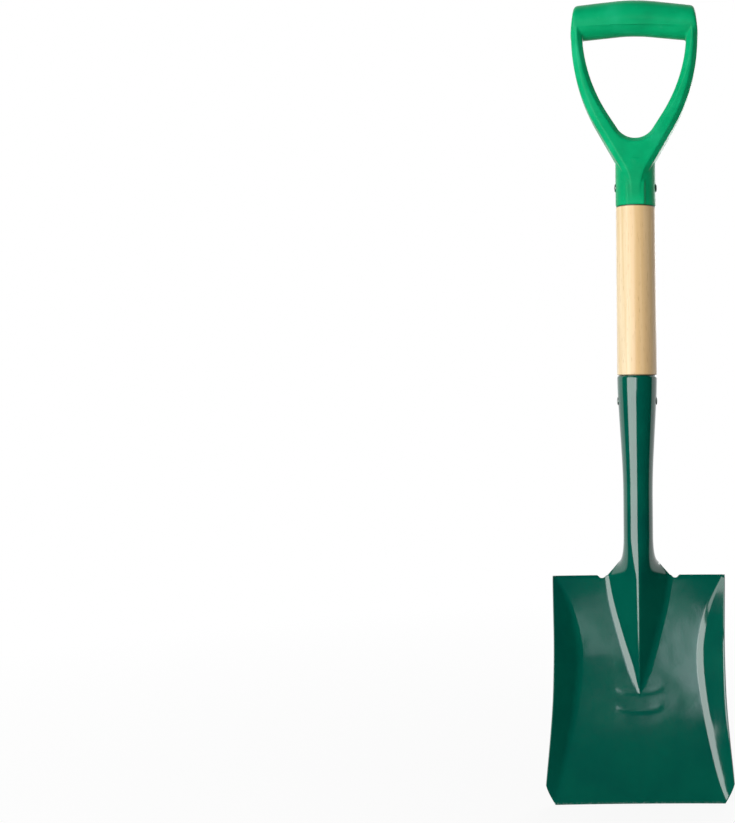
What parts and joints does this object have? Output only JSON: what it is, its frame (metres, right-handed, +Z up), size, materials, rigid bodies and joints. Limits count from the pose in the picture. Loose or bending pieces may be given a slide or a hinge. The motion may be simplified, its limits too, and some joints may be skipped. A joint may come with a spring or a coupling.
{
  "type": "garden spade",
  "caption": "Short square-mouth garden spade: pressed steel blade with turned-up sides and raised frog, rolled socket, round wooden shaft and moulded D-shaped hand grip.",
  "frame": {"origin": "middle of the cutting edge, in the thickness of the blade", "axes": "+Z up the shaft towards the hand bar, -Y the way the hollow face of the blade looks, +X to the right when the hollow face is looked at; the tool is the same on both sides of X = 0"},
  "size_m": [0.1622, 0.0524, 0.7],
  "materials": {
    "blade_enamel": "dark bluish green gloss enamel sprayed over the pressed steel",
    "shaft_wood": "pale straight-grained wood under clear varnish",
    "grip_plastic": "bright green moulded polypropylene, semi-gloss",
    "rivet_steel": "steel rivet"
  },
  "bodies": {
    "root": {"blade": "blade_enamel", "shaft": "shaft_wood", "d_grip": "grip_plastic", "socket_rivet": "rivet_steel", "grip_rivet": "rivet_steel"}
  },
  "joints": []
}
